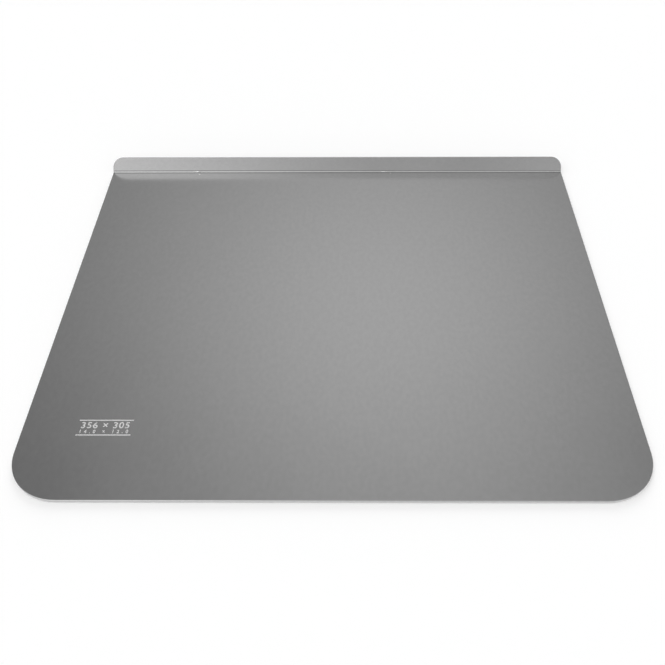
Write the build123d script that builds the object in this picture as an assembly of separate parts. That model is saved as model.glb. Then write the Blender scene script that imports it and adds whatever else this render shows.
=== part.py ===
from build123d import *
from math import cos, radians, sin
import os

# A flat baking sheet, cut from one aluminium blank.
# Its back edge is folded up into a low lip that leans away from the sheet.
# The origin is under the middle of the sheet, +Y runs back to the lip and +Z is up.

# Overall size of the folded sheet, in millimetres
sheet_width = 356.0
sheet_depth = 305.0
sheet_thickness = 2.0

# Corners of the blank
front_corner_radius = 31.0
lip_corner_radius = 9.0

# Lip along the back, its length measured up its front face from the fold
lip_length = 11.5
lip_bend_angle = 65.0
bend_inside_radius = 1.5

# Rounding on every sheared edge
edge_rounding = 0.4

# Two faces that meet at a smaller angle than this, in degrees, run on smoothly
smooth_angle = 5.0

bend = radians(lip_bend_angle)


def fold_line():
    """Distance back to the line where the top face and the lip's front face would meet in a sharp fold."""
    # The furthest point back is on the rounding along the lip's top edge.
    lip_reach = lip_length * cos(bend) + sheet_thickness * sin(bend)
    lost_to_rounding = edge_rounding * (sin(bend) + cos(bend) - 1)
    return sheet_depth / 2 - lip_reach + lost_to_rounding


def side_section():
    """The sheet seen from its end: its top line with a rounded fold, thickened to the outside."""
    front_edge = (-sheet_depth / 2, sheet_thickness)
    fold = (fold_line(), sheet_thickness)
    lip_top = (fold_line() + lip_length * cos(bend), sheet_thickness + lip_length * sin(bend))
    top_line = FilletPolyline(front_edge, fold, lip_top, radius=bend_inside_radius)
    outline = offset(top_line, amount=sheet_thickness, side=Side.RIGHT, closed=True)
    return Plane.YZ * make_face(outline)


def sharp_edges(shape):
    """Edges where two faces meet at an angle: those left by the shears, and not those along the fold."""
    faces = shape.faces()
    found = ShapeList()
    for edge in shape.edges():
        first, second = [face for face in faces if edge in face.edges()]
        middle = edge @ 0.5
        if first.normal_at(middle).get_angle(second.normal_at(middle)) > smooth_angle:
            found.append(edge)
    return found


def baking_sheet():
    """The whole sheet, folded, with its corners cut round and its edges smoothed."""
    sheet = extrude(side_section(), amount=sheet_width / 2, both=True)
    front_corners = sheet.edges().filter_by(Axis.Z).group_by(Axis.Y)[0]
    sheet = fillet(front_corners, radius=front_corner_radius)
    through_the_lip = Axis((0, 0, 0), (0, sin(bend), -cos(bend)))
    lip_corners = sheet.edges().filter_by(through_the_lip).group_by(Axis.Z)[-1]
    sheet = fillet(lip_corners, radius=lip_corner_radius)
    return fillet(sharp_edges(sheet), radius=edge_rounding)


os.makedirs("parts", exist_ok=True)
export_step(baking_sheet(), "parts/baking_sheet.step")
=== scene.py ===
"""A flat aluminium baking sheet with a folded lip, lying on a white table in a soft white studio."""

import logging
from dataclasses import dataclass
from enum import Enum
from math import cos, pi, radians, sin
from typing import Any

import bmesh
import bpy
from bpy.types import Material, Mesh, Node, NodeSocket, NodeTree, Object, World
from mathutils import Euler, Matrix, Vector


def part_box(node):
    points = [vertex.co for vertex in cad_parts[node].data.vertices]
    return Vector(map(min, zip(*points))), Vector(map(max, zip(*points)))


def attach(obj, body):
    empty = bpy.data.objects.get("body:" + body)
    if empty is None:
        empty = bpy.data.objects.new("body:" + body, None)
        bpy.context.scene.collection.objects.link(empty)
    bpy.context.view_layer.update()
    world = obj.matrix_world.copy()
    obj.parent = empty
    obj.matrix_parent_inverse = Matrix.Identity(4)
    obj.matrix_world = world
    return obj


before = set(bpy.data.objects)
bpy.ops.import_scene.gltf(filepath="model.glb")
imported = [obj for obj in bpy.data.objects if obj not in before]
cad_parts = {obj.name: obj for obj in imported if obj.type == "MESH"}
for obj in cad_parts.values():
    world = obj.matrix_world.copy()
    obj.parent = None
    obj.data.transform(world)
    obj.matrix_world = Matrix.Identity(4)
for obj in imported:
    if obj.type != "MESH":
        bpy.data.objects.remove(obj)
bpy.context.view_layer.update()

MM = 0.001
TO_METRES = Matrix.Scale(MM, 4)
WHITE = "FFFFFF"

# The sRGB curve: a straight toe, and above it a power of the offset value
SRGB_TOE_END = 0.04045
SRGB_TOE_SLOPE = 12.92
SRGB_OFFSET = 0.055
SRGB_POWER = 2.4

# Nearly all values of a noise pattern lie between these
NOISE_RANGE = (0.3, 0.7)

log = logging.getLogger("baking_sheet")


class Body(Enum):
    """The moving bodies of the sheet. It has only one, because nothing on it moves."""

    ROOT = "root"


class Slot(Enum):
    """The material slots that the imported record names."""

    ANODISED_ALUMINIUM = "anodised_aluminium"


class Ray(Enum):
    """The kinds of ray that see the table or the studio as plain white."""

    CAMERA = "Is Camera Ray"
    GLOSSY = "Is Glossy Ray"
    TRANSMISSION = "Is Transmission Ray"


class Mixed(Enum):
    """What a mix node mixes: its data type, the numbers of its two inputs and that of its output."""

    COLOUR = ("RGBA", 6, 7, 2)
    NUMBER = ("FLOAT", 2, 3, 0)


def linear(hex_colour: str) -> tuple[float, float, float, float]:
    """Turn an sRGB colour into the linear one that Blender's sockets take.

    Args:
        hex_colour: six hexadecimal digits, two each for red, green and blue.

    Returns:
        Linear red, green and blue, and an alpha of 1.
    """
    channels = [int(hex_colour[i:i + 2], 16) / 255 for i in (0, 2, 4)]
    red, green, blue = (
        c / SRGB_TOE_SLOPE if c <= SRGB_TOE_END else ((c + SRGB_OFFSET) / (1 + SRGB_OFFSET)) ** SRGB_POWER
        for c in channels)
    return red, green, blue, 1.0


def per_metre(size_mm: float) -> float:
    """Give the scale at which a pattern's features are size_mm millimetres apart."""
    return 1 / (size_mm * MM)


def direction(azimuth: float, elevation: float) -> Vector:
    """Point from the sheet to a place in the studio.

    Args:
        azimuth: degrees from straight back behind the lip, positive to the right.
        elevation: degrees above the table.

    Returns:
        A vector of length 1.
    """
    turn, rise = radians(azimuth), radians(elevation)
    return Vector((sin(turn) * cos(rise), cos(turn) * cos(rise), sin(rise)))


def empty_tree(owner: Material | World) -> NodeTree:
    """Give a material or the world a node tree without nodes.

    Args:
        owner: the material or the world.

    Returns:
        Its node tree.
    """
    owner.use_nodes = True
    owner.node_tree.nodes.clear()
    return owner.node_tree


def add_node(tree: NodeTree, kind: str, inputs: dict[str | int, Any] | None = None, **settings: Any) -> Node:
    """Add one node with its settings, its values and its links.

    Args:
        tree: the node tree that gets the node.
        kind: the node's type name, without "ShaderNode" in front.
        inputs: for an input's name or number, the value it gets or the output that is linked to it.
        settings: the node's own options.

    Returns:
        The new node.
    """
    node = tree.nodes.new("ShaderNode" + kind)
    for name, value in settings.items():
        setattr(node, name, value)
    for name, value in (inputs or {}).items():
        if isinstance(value, NodeSocket):
            tree.links.new(value, node.inputs[name])
        else:
            node.inputs[name].default_value = value
    return node


def calculate(tree: NodeTree, operation: str, *values: NodeSocket | float) -> NodeSocket:
    """Calculate with numbers.

    Args:
        tree: the node tree that gets the node.
        operation: what is done with them.
        values: the numbers, or the sockets that give them.

    Returns:
        The result's socket.
    """
    return add_node(tree, "Math", dict(enumerate(values)), operation=operation).outputs["Value"]


def remap(tree: NodeTree, value: NodeSocket, old: tuple[float, float], new: tuple[float, float],
          **settings: Any) -> NodeSocket:
    """Map one range of numbers onto another. What lies beyond its ends is held at them.

    Args:
        tree: the node tree that gets the node.
        value: the number.
        old: the two ends of the range that it comes in.
        new: what they turn into.
        settings: the node's own options.

    Returns:
        The result's socket.
    """
    return add_node(tree, "MapRange", {
        "Value": value, "From Min": old[0], "From Max": old[1], "To Min": new[0], "To Max": new[1]},
        **settings).outputs["Result"]


def mix(tree: NodeTree, kind: Mixed, share: NodeSocket, first: Any, second: Any) -> NodeSocket:
    """Mix two colours or two numbers.

    Args:
        tree: the node tree that gets the node.
        kind: which of these they are.
        share: the share of the second.
        first: the first value, or its socket.
        second: the second value, or its socket.

    Returns:
        The mixture's socket.
    """
    data_type, first_input, second_input, output = kind.value
    return add_node(tree, "Mix", {0: share, first_input: first, second_input: second},
                    data_type=data_type).outputs[output]


def noise(tree: NodeTree, place: NodeSocket, size_mm: float, detail: float) -> NodeSocket:
    """Lay out a noise pattern.

    Args:
        tree: the finish's node tree.
        place: the coordinates that it is laid out in, in metres.
        size_mm: how far its features are apart.
        detail: how many layers of finer features it has.

    Returns:
        The pattern's socket.
    """
    return add_node(tree, "TexNoise", {
        "Vector": place, "Scale": per_metre(size_mm), "Detail": detail}).outputs["Fac"]


def spread(tree: NodeTree, pattern: NodeSocket, middle: float, change: float) -> NodeSocket:
    """Turn a noise pattern into a value that varies a little about its middle.

    Args:
        tree: the finish's node tree.
        pattern: the noise.
        middle: the value at the noise's average.
        change: how far the value goes up and down.

    Returns:
        The value's socket.
    """
    return remap(tree, pattern, NOISE_RANGE, (middle - change, middle + change))


def toned(tree: NodeTree, colour: Any, tone: NodeSocket) -> NodeSocket:
    """Make a colour lighter or darker.

    Args:
        tree: the finish's node tree.
        colour: its red, green and blue, or the socket that gives them.
        tone: what they are multiplied by.

    Returns:
        The new colour's socket.
    """
    return add_node(tree, "VectorMath", {0: colour, "Scale": tone}, operation="SCALE").outputs["Vector"]


def cover(tree: NodeTree, colour: Any, roughness: Any, normal: NodeSocket | None = None) -> None:
    """Make bare metal the surface of a finish.

    Args:
        tree: the finish's node tree.
        colour: its colour, or the socket that gives it.
        roughness: how matt it is, or the socket that gives it.
        normal: the socket that gives its relief, where it has one.
    """
    inputs = {"Base Color": colour, "Metallic": 1.0, "Roughness": roughness}
    if normal is not None:
        inputs["Normal"] = normal
    shader = add_node(tree, "BsdfPrincipled", inputs)
    add_node(tree, "OutputMaterial", {"Surface": shader.outputs["BSDF"]})


def new_mesh(name: str, shape: bmesh.types.BMesh) -> Mesh:
    """Turn a shape into a mesh and free the shape.

    Args:
        name: the mesh's name.
        shape: the shape, in metres.

    Returns:
        The mesh.
    """
    mesh = bpy.data.meshes.new(name)
    shape.to_mesh(mesh)
    shape.free()
    return mesh


def new_object(name: str, data: Any) -> Object:
    """Put a mesh, a text, a light or a camera into the scene.

    Args:
        name: the object's name.
        data: what it shows.

    Returns:
        The object.
    """
    item = bpy.data.objects.new(name, data)
    bpy.context.scene.collection.objects.link(item)
    return item


def new_piece(mesh: Mesh, finish: Material, smooth: bool = True) -> Object:
    """Make a piece of the sheet that rides on its body and has its finish.

    Args:
        mesh: its mesh, already in its place. The piece gets its name.
        finish: its material.
        smooth: whether its faces run on smoothly into each other.

    Returns:
        The piece's object.
    """
    piece = new_object(mesh.name, mesh)
    mesh.materials.clear()
    mesh.materials.append(finish)
    for face in mesh.polygons:
        face.use_smooth = smooth
    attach(piece, Body.ROOT.value)
    return piece


@dataclass(frozen=True)
class SatinAnodisedAluminium:
    """Rolled aluminium sheet, etched matt in a bath and anodised.

    It gives the eye an even mid grey with a soft, wide sheen and a faint grain, drawn out front to back by
    the rolling. Along the trimmed edges the metal is smoother, and its lighter colour there is painted sheen.
    A darker line of painted shade runs on both sides of the bend, the upper one fading to the right.
    Lengths are in millimetres.
    """

    colour: str = "AAAAAA"
    roughness: float = 0.19
    roughness_change: float = 0.015
    grain_size: float = 2.5
    grain_stretch: float = 1.6
    grain_detail: float = 1.0
    grain_depth: float = 0.0012
    grain_tone_change: float = 0.02
    cloud_size: float = 45.0
    cloud_detail: float = 3.0
    cloud_tone_change: float = 0.012
    # A lighter colour on the trimmed edges: painted sheen
    edge_sheen_colour: str = "C0C0C0"
    edge_roughness: float = 0.17
    edge_sheen_below: float = 1.95
    edge_sheen_flatness: tuple[float, float] = (0.5, 0.9)
    # Darker lines of painted shade along both sides of the bend, the upper one fading to the right
    crease_shade_colour: str = "7C7C7C"
    crease_shade_facing: float = 0.5
    lower_line: tuple[float, float] = (-0.6, 0.4)
    upper_line: tuple[float, float] = (0.55, 1.15)
    upper_fade: tuple[float, float] = (-120.0, 120.0)

    def painted_sheen_edge(self, tree: NodeTree, place: Node) -> NodeSocket:
        """Find the trimmed edge of the flat sheet, where the surface turns down from the baking face.

        Args:
            tree: the finish's node tree.
            place: the texture coordinates.

        Returns:
            A socket that is 1 on the edge, which gets a painted sheen, and 0 elsewhere.
        """
        height = add_node(tree, "SeparateXYZ", {0: place.outputs["Object"]}).outputs["Z"]
        upward = add_node(tree, "SeparateXYZ", {0: place.outputs["Normal"]}).outputs["Z"]
        flatness = calculate(tree, "ABSOLUTE", upward)
        side = remap(tree, flatness, self.edge_sheen_flatness, (1.0, 0.0))
        low = calculate(tree, "LESS_THAN", height, self.edge_sheen_below * MM)
        return calculate(tree, "MULTIPLY", side, low)

    def band(self, tree: NodeTree, distance: NodeSocket, start: float, line: tuple[float, float],
             facing: NodeSocket) -> NodeSocket:
        """Find a straight band of the surface.

        Args:
            tree: the finish's node tree.
            distance: the distance across the band, in metres.
            start: where that distance is counted from, in millimetres.
            line: where the band begins and ends, from there.
            facing: how far the surface turns to the side that has the band.

        Returns:
            A socket that is 1 on the band and 0 elsewhere.
        """
        near, far = line
        middle = (start + (near + far) / 2) * MM
        across = calculate(tree, "COMPARE", distance, middle, (far - near) / 2 * MM)
        there = calculate(tree, "GREATER_THAN", facing, self.crease_shade_facing)
        return calculate(tree, "MULTIPLY", across, there)

    def painted_bend_light(self, tree: NodeTree, place: Node, bend_start: tuple[float, float]) -> NodeSocket:
        """Find the two lines of painted shade along both sides of the bend.

        Args:
            tree: the finish's node tree.
            place: the texture coordinates.
            bend_start: distance back and height of the line where the baking face starts to bend up.

        Returns:
            A socket that is 1 on the lines, less where they fade, and 0 elsewhere.
        """
        back, height = bend_start
        where = add_node(tree, "SeparateXYZ", {0: place.outputs["Object"]})
        facing = add_node(tree, "SeparateXYZ", {0: place.outputs["Normal"]})
        forward = calculate(tree, "MULTIPLY", facing.outputs["Y"], -1.0)
        # Both lines are painted shade
        lower = self.band(tree, where.outputs["Y"], back, self.lower_line, facing.outputs["Z"])
        upper = self.band(tree, where.outputs["Z"], height, self.upper_line, forward)
        left, right = self.upper_fade
        strength = remap(tree, where.outputs["X"], (left * MM, right * MM), (1.0, 0.0))
        return calculate(tree, "MULTIPLY_ADD", upper, strength, lower)

    def material(self, name: str, bend_start: tuple[float, float]) -> Material:
        """Make the finish.

        Args:
            name: the material's name.
            bend_start: distance back and height of the line where the baking face starts to bend up.

        Returns:
            The material.
        """
        finish = bpy.data.materials.new(name)
        tree = empty_tree(finish)
        place = add_node(tree, "TexCoord")
        rolled = add_node(tree, "Mapping", {
            "Vector": place.outputs["Object"], "Scale": (1.0, 1 / self.grain_stretch, 1.0)}).outputs["Vector"]
        grain = noise(tree, rolled, self.grain_size, self.grain_detail)
        clouds = noise(tree, place.outputs["Object"], self.cloud_size, self.cloud_detail)
        edge = self.painted_sheen_edge(tree, place)
        lines = self.painted_bend_light(tree, place, bend_start)
        # The edges get a lighter colour as painted sheen, and the bend gets darker lines as painted shade
        film_and_painted_light = mix(tree, Mixed.COLOUR, edge, linear(self.colour), linear(self.edge_sheen_colour))
        film_and_painted_light = mix(tree, Mixed.COLOUR, lines, film_and_painted_light, linear(self.crease_shade_colour))
        tone = calculate(tree, "MULTIPLY", spread(tree, grain, 1.0, self.grain_tone_change),
                         spread(tree, clouds, 1.0, self.cloud_tone_change))
        matt = spread(tree, clouds, self.roughness, self.roughness_change)
        matt = mix(tree, Mixed.NUMBER, edge, matt, self.edge_roughness)
        tooth = add_node(tree, "Bump", {
            "Strength": 1.0, "Distance": self.grain_depth * MM, "Height": grain}).outputs["Normal"]
        cover(tree, toned(tree, film_and_painted_light, tone), matt, tooth)
        return finish


@dataclass(frozen=True)
class DieStruckPaintedGlintAluminium:
    """The same metal where the folding tool has pressed through its film to bright aluminium.

    It gives small bright spots on the grey of the sheet: partly bare metal, partly painted glint.
    Lengths are in millimetres.
    """

    # A light colour that is partly bare metal and partly painted glint
    colour: str = "ECECEC"
    roughness: float = 0.4
    roughness_change: float = 0.05
    streak_size: float = 0.4
    streak_detail: float = 2.0

    def material(self, name: str) -> Material:
        """Make the finish.

        Args:
            name: the material's name.

        Returns:
            The material.
        """
        finish = bpy.data.materials.new(name)
        tree = empty_tree(finish)
        place = add_node(tree, "TexCoord").outputs["Object"]
        streaks = noise(tree, place, self.streak_size, self.streak_detail)
        cover(tree, linear(self.colour), spread(tree, streaks, self.roughness, self.roughness_change))
        return finish


@dataclass(frozen=True)
class LaserMarkedAluminium:
    """The same metal where a laser has frosted it.

    It gives the eye pale, even, matt strokes on the grey of the sheet. Lengths are in millimetres.
    """

    colour: str = "F0F0F0"
    roughness: float = 0.6
    frost_size: float = 0.6
    frost_detail: float = 2.0
    frost_tone_change: float = 0.08

    def material(self, name: str) -> Material:
        """Make the finish.

        Args:
            name: the material's name.

        Returns:
            The material.
        """
        finish = bpy.data.materials.new(name)
        tree = empty_tree(finish)
        place = add_node(tree, "TexCoord").outputs["Object"]
        frost = noise(tree, place, self.frost_size, self.frost_detail)
        tone = spread(tree, frost, 1.0, self.frost_tone_change)
        cover(tree, toned(tree, linear(self.colour)[:3], tone), self.roughness)
        return finish


@dataclass(frozen=True)
class WhiteTable:
    """Matt white laminate.

    It gives the eye a bare white ground that shows only the soft shadow under the sheet. Metal mirrors it as
    plain white.
    """

    colour: str = WHITE
    seen_white_share: float = 0.1

    def material(self, name: str) -> Material:
        """Make the finish, white from above and clear from below.

        Args:
            name: the material's name.

        Returns:
            The material.
        """
        finish = bpy.data.materials.new(name)
        tree = empty_tree(finish)
        ray = add_node(tree, "LightPath").outputs
        mirrored = calculate(tree, "MAXIMUM", ray[Ray.GLOSSY.value], ray[Ray.TRANSMISSION.value])
        share = calculate(tree, "MULTIPLY_ADD", ray[Ray.CAMERA.value], self.seen_white_share, mirrored)
        matt = add_node(tree, "BsdfDiffuse", {"Color": linear(self.colour)})
        white = add_node(tree, "Emission", {"Color": linear(WHITE), "Strength": 1.0})
        above = add_node(tree, "MixShader", {0: share, 1: matt.outputs["BSDF"], 2: white.outputs["Emission"]})
        clear = add_node(tree, "BsdfTransparent")
        side = add_node(tree, "NewGeometry")
        both = add_node(tree, "MixShader", {
            0: side.outputs["Backfacing"], 1: above.outputs["Shader"], 2: clear.outputs["BSDF"]})
        add_node(tree, "OutputMaterial", {"Surface": both.outputs["Shader"]})
        return finish


@dataclass
class SheetBody:
    """The sheet itself: one blank, folded up into a lip along the back.

    Lengths are in millimetres and angles in degrees.
    """

    thickness: float = 2.0
    lip_length: float = 11.5
    bend_angle: float = 65.0
    bend_inside_radius: float = 1.5
    edge_rounding: float = 0.4

    @property
    def top(self) -> float:
        """Height of the baking face."""
        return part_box("baking_sheet")[0].z / MM + self.thickness

    @property
    def bend_centre(self) -> tuple[float, float]:
        """Distance back and height of the line that the inside of the bend is rounded about."""
        bend = radians(self.bend_angle)
        lip_reach = self.lip_length * cos(bend) + self.thickness * sin(bend)
        lost_to_rounding = self.edge_rounding * (sin(bend) + cos(bend) - 1)
        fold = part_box("baking_sheet")[1].y / MM - lip_reach + lost_to_rounding
        tangent = self.bend_inside_radius * sin(bend / 2) / cos(bend / 2)
        return fold - tangent, self.top + self.bend_inside_radius

    def in_the_bend(self, turn: float) -> tuple[float, float]:
        """Find a place on the inside of the bend.

        Args:
            turn: degrees round the bend from the baking face.

        Returns:
            Its distance back and its height.
        """
        back, height = self.bend_centre
        angle = radians(turn)
        return back + self.bend_inside_radius * sin(angle), height - self.bend_inside_radius * cos(angle)

    def dress(self, finish: Material) -> Object:
        """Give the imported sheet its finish.

        Args:
            finish: the metal.

        Returns:
            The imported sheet.
        """
        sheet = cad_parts["baking_sheet"]
        if not sheet.material_slots:
            sheet.data.materials.append(finish)
        for slot in sheet.material_slots:
            slot.material = finish
        return sheet


@dataclass
class SizeMark:
    """The sheet's size in plain figures between two rules, near the front left corner of the baking face.

    Lengths are in millimetres. The frosted metal stands a few hundredths proud of the face.
    """

    figure_heights: tuple[float, float] = (4.2, 2.3)
    figure_left: float = -144.4
    figure_fronts: tuple[float, float] = (-105.2, -108.7)
    line_width: float = 27.8
    boldness: float = 0.1
    spacing_gain: float = 1.15
    rule_left: float = -146.2
    rule_length: float = 31.4
    rule_middles: tuple[float, float] = (-99.5, -109.9)
    rule_width: float = 0.7
    relief: float = 0.05
    weld_distance: float = 0.001
    size_mm: tuple[int, int] = (356, 305)
    size_inches: tuple[float, float] = (14.0, 12.0)

    def figures(self, text: str, height: float, front: float, floor: float) -> Mesh:
        """Make one line of figures.

        Args:
            text: what the line says.
            height: how tall its figures are.
            front: where its figures stand.
            floor: height of the face that it is on.

        Returns:
            A mesh in its place.
        """
        writing = bpy.data.curves.new("figures", "FONT")
        writing.body = text
        flat = new_object("figures", writing)
        bpy.context.view_layer.update()
        writing.size = height / flat.dimensions.y
        writing.offset = self.boldness
        writing.extrude = self.relief
        bpy.context.view_layer.update()
        writing.space_character = 1 + (self.line_width / flat.dimensions.x - 1) * self.spacing_gain
        bpy.context.view_layer.update()
        mesh = bpy.data.meshes.new_from_object(flat.evaluated_get(bpy.context.evaluated_depsgraph_get()))
        low = min(corner.co.x for corner in mesh.vertices)
        high = max(corner.co.x for corner in mesh.vertices)
        bottom = min(corner.co.y for corner in mesh.vertices)
        stretch = Matrix.Diagonal((self.line_width / (high - low), 1.0, 1.0, 1.0))
        mesh.transform(stretch @ Matrix.Translation((-low, -bottom, 0)))
        mesh.transform(Matrix.Translation((self.figure_left, front, floor)))
        bpy.data.objects.remove(flat)
        bpy.data.curves.remove(writing)
        return mesh

    def rule(self, joined: bmesh.types.BMesh, middle: float, floor: float) -> None:
        """Draw one rule, a thin straight bar.

        Args:
            joined: the mesh that gets it.
            middle: where its middle line is.
            floor: height of the face that it is on.
        """
        place = Matrix.Translation((self.rule_left + self.rule_length / 2, middle, floor))
        size = Matrix.Diagonal((self.rule_length, self.rule_width, 2 * self.relief, 1.0))
        bmesh.ops.create_cube(joined, size=1.0, matrix=place @ size)

    def build(self, sheet: SheetBody, finish: Material) -> Object:
        """Mark both lines of figures and both rules.

        Args:
            sheet: the sheet that they are on.
            finish: the frosted metal.

        Returns:
            The piece.
        """
        joined = bmesh.new()
        sizes = (self.size_mm, self.size_inches)
        for size, height, front in zip(sizes, self.figure_heights, self.figure_fronts):
            joined.from_mesh(self.figures("{} × {}".format(*size), height, front, sheet.top))
        for middle in self.rule_middles:
            self.rule(joined, middle, sheet.top)
        bmesh.ops.remove_doubles(joined, verts=joined.verts, dist=self.weld_distance)
        bmesh.ops.transform(joined, matrix=TO_METRES, verts=joined.verts)
        return new_piece(new_mesh("size_mark", joined), finish, smooth=False)


@dataclass
class FoldNick:
    """A small ridge pressed up in the bend where two parts of the folding tool meet.

    In front of its right end is a bead on the baking face. Lengths are in millimetres and angles in degrees.
    """

    name: str
    middle: float
    length: float
    width: float
    height: float
    bead_offset: tuple[float, float]
    bead_length: float
    bead_width: float
    bead_height: float
    turn: float = 36.0
    sides: int = 32
    steps: int = 24
    point_power: float = 0.5

    def ridge(self, joined: bmesh.types.BMesh, middle: Vector, turn: float, size: Vector) -> None:
        """Raise one ridge, pointed at both ends.

        Args:
            joined: the mesh that gets it.
            middle: its middle.
            turn: degrees that it leans back round the bend.
            size: its length, its width and twice its height.
        """
        # A ball of unit size, turned so that its poles are the ridge's two ends
        ball = bmesh.ops.create_uvsphere(joined, u_segments=self.sides, v_segments=self.steps, radius=0.5)
        found = ball["verts"]
        bmesh.ops.rotate(joined, matrix=Matrix.Rotation(pi / 2, 3, "Y"), verts=found)
        for corner in found:
            taper = (1 - abs(2 * corner.co.x)) ** self.point_power
            corner.co.y *= taper
            corner.co.z *= taper
        place = Matrix.LocRotScale(middle, Euler((radians(turn), 0, 0)), size)
        bmesh.ops.transform(joined, matrix=place, verts=found)

    def build(self, sheet: SheetBody, finish: Material) -> Object:
        """Raise the ridge in the bend and the bead in front of its end.

        Args:
            sheet: the sheet that they are on.
            finish: its metal.

        Returns:
            The piece.
        """
        joined = bmesh.new()
        back, height = sheet.in_the_bend(self.turn)
        self.ridge(joined, Vector((self.middle, back, height)), self.turn,
                   Vector((self.length, self.width, 2 * self.height)))
        right, forward = self.bead_offset
        self.ridge(joined, Vector((self.middle + right, back + forward, sheet.top)), 0.0,
                   Vector((self.bead_length, self.bead_width, 2 * self.bead_height)))
        bmesh.ops.transform(joined, matrix=TO_METRES, verts=joined.verts)
        bmesh.ops.recalc_face_normals(joined, faces=joined.faces)
        return new_piece(new_mesh(self.name, joined), finish)


@dataclass
class Table:
    """The table top that the sheet lies on."""

    side_m: float = 8.0
    gap_mm: float = 0.1

    def build(self) -> Object:
        """Lay the table top just under the sheet."""
        top = bmesh.new()
        bmesh.ops.create_grid(top, x_segments=1, y_segments=1, size=self.side_m / 2)
        bmesh.ops.translate(top, vec=(0, 0, -self.gap_mm * MM), verts=top.verts)
        table = new_object("table", new_mesh("table", top))
        table.data.materials.append(WhiteTable().material("white_laminate"))
        return table


@dataclass
class Window:
    """Soft light from far away that only the table gets, because a flag keeps it off the metal.

    Its softness is how wide it is. Angles are in degrees.
    """

    name: str
    azimuth: float
    elevation: float
    softness: float
    strength: float

    def build(self) -> Object:
        """Hang the light and turn it to the sheet."""
        data = bpy.data.lights.new(self.name, "SUN")
        data.angle = radians(self.softness)
        data.energy = self.strength
        lamp = new_object(self.name, data)
        turn = direction(self.azimuth, self.elevation).to_track_quat("Z", "Y")
        lamp.matrix_world = turn.to_matrix().to_4x4()
        lamp.visible_glossy = False
        return lamp


@dataclass(frozen=True)
class Glow:
    """A soft patch of light in the studio's ceiling or walls, without an edge. Angles are in degrees."""

    azimuth: float
    elevation: float
    sharpness: float
    strength: float


@dataclass
class Studio:
    """A white studio: bright at the horizon, dimmer above, with soft glows where its light boxes hang.

    The camera itself sees it plain white. Angles are in degrees.
    """

    glows: tuple[Glow, ...]
    horizon: tuple[float, float] = (2.0, 14.0)
    horizon_strength: float = 1.0
    ceiling_strength: float = 0.1

    def build(self) -> None:
        """Make the studio the world of the scene."""
        world = bpy.data.worlds.new("studio")
        bpy.context.scene.world = world
        tree = empty_tree(world)
        ray = add_node(tree, "TexCoord").outputs["Generated"]
        height = add_node(tree, "SeparateXYZ", {"Vector": ray}).outputs["Z"]
        low, high = (sin(radians(elevation)) for elevation in self.horizon)
        light = remap(tree, height, (low, high), (self.horizon_strength, self.ceiling_strength),
                      interpolation_type="SMOOTHSTEP")
        for glow in self.glows:
            facing = add_node(tree, "VectorMath", {0: ray, 1: direction(glow.azimuth, glow.elevation)},
                              operation="DOT_PRODUCT").outputs["Value"]
            power = calculate(tree, "MULTIPLY_ADD", facing, glow.sharpness, -glow.sharpness)
            share = calculate(tree, "EXPONENT", power)
            light = calculate(tree, "MULTIPLY_ADD", share, glow.strength, light)
        seen = add_node(tree, "LightPath").outputs[Ray.CAMERA.value]
        strength = calculate(tree, "MAXIMUM", light, seen)
        backdrop = add_node(tree, "Background", {"Color": linear(WHITE), "Strength": strength})
        add_node(tree, "OutputWorld", {"Surface": backdrop.outputs["Background"]})


@dataclass
class PhotoCamera:
    """The camera, at the photograph's place. Lengths are in millimetres and angles in degrees.

    The picture is cropped a little off the middle of the lens, by a share of its width.
    """

    place: tuple[float, float, float] = (9.59, -367.72, 361.17)
    tilt_down: float = 46.733
    turn_left: float = 0.658
    lean: float = -0.479
    lens: float = 41.732
    sensor: float = 36.0
    sideways_crop: float = -0.0154

    def build(self) -> Object:
        """Make the camera and use it for the scene."""
        data = bpy.data.cameras.new("camera")
        data.lens = self.lens
        data.sensor_width = self.sensor
        data.shift_x = self.sideways_crop
        camera = new_object("camera", data)
        turn = Matrix.Rotation(radians(self.turn_left), 4, "Z")
        tilt = Matrix.Rotation(radians(90 - self.tilt_down), 4, "X")
        lean = Matrix.Rotation(radians(self.lean), 4, "Z")
        camera.matrix_world = Matrix.Translation(Vector(self.place) * MM) @ turn @ tilt @ lean
        bpy.context.scene.camera = camera
        return camera


NICKS = (
    FoldNick("fold_nick_left", middle=-111.0, length=7.4, width=1.1, height=0.4,
             bead_offset=(1.9, -2.8), bead_length=2.2, bead_width=0.9, bead_height=0.09),
    FoldNick("fold_nick_right", middle=37.5, length=5.4, width=0.35, height=0.1,
             bead_offset=(5.2, -1.8), bead_length=1.2, bead_width=0.3, bead_height=0.03),
)

WINDOWS = (
    Window("back_window", azimuth=4, elevation=17, softness=30, strength=1.4),
    Window("left_window", azimuth=-80, elevation=35, softness=70, strength=0.26),
)

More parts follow.
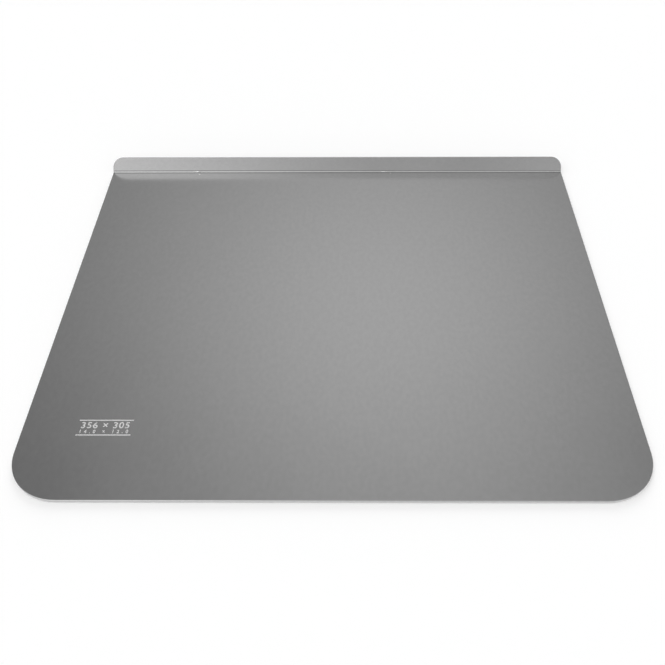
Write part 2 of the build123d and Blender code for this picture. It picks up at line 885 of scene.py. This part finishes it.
GLOWS = (
    Glow(azimuth=-100, elevation=20, sharpness=12, strength=0.5),
    Glow(azimuth=-130, elevation=40, sharpness=12, strength=1.34),
    Glow(azimuth=-140, elevation=70, sharpness=20, strength=1.91),
    Glow(azimuth=-150, elevation=20, sharpness=16, strength=0.22),
    Glow(azimuth=-160, elevation=55, sharpness=24, strength=0.06),
    Glow(azimuth=-160, elevation=8, sharpness=20, strength=0.83),
    Glow(azimuth=-165, elevation=35, sharpness=16, strength=0.09),
    Glow(azimuth=-175, elevation=10, sharpness=16, strength=0.19),
    Glow(azimuth=-20, elevation=40, sharpness=16, strength=0.21),
    Glow(azimuth=-73, elevation=75, sharpness=50, strength=1.46),
    Glow(azimuth=0, elevation=58, sharpness=16, strength=0.2),
    Glow(azimuth=0, elevation=6, sharpness=6, strength=0.16),
    Glow(azimuth=0, elevation=84, sharpness=40, strength=0.07),
    Glow(azimuth=140, elevation=20, sharpness=12, strength=0.87),
    Glow(azimuth=160, elevation=42, sharpness=30, strength=0.1),
    Glow(azimuth=160, elevation=5, sharpness=20, strength=0.3),
    Glow(azimuth=25, elevation=42, sharpness=16, strength=0.12),
    Glow(azimuth=35, elevation=52, sharpness=24, strength=0.07),
    Glow(azimuth=5, elevation=43, sharpness=20, strength=0.48),
    Glow(azimuth=70, elevation=76, sharpness=40, strength=1.9),
    Glow(azimuth=95, elevation=25, sharpness=12, strength=0.6),
)


def main() -> None:
    """Dress the sheet, light it and set the camera."""
    logging.basicConfig(level=logging.INFO, format="%(message)s")
    bpy.context.scene.view_settings.view_transform = "Standard"
    sheet = SheetBody()
    # The sheet's finish has a painted sheen on its edges and painted shade along both sides of the bend
    metal = SatinAnodisedAluminium().material("satin_anodised_aluminium", sheet.in_the_bend(0))
    # The nicks' finish is partly painted glint
    painted_bend_light = DieStruckPaintedGlintAluminium().material("die_struck_painted_glint_aluminium")
    frosted = LaserMarkedAluminium().material("laser_marked_aluminium")
    pieces = [sheet.dress(metal), SizeMark().build(sheet, frosted)]
    pieces += [nick.build(sheet, painted_bend_light) for nick in NICKS]
    for piece in pieces:
        log.info("%s: %d faces, %s", piece.name, len(piece.data.polygons), piece.material_slots[0].name)
    Table().build()
    for window in WINDOWS:
        window.build()
    Studio(glows=GLOWS).build()
    PhotoCamera().build()


if __name__ == "__main__":
    main()
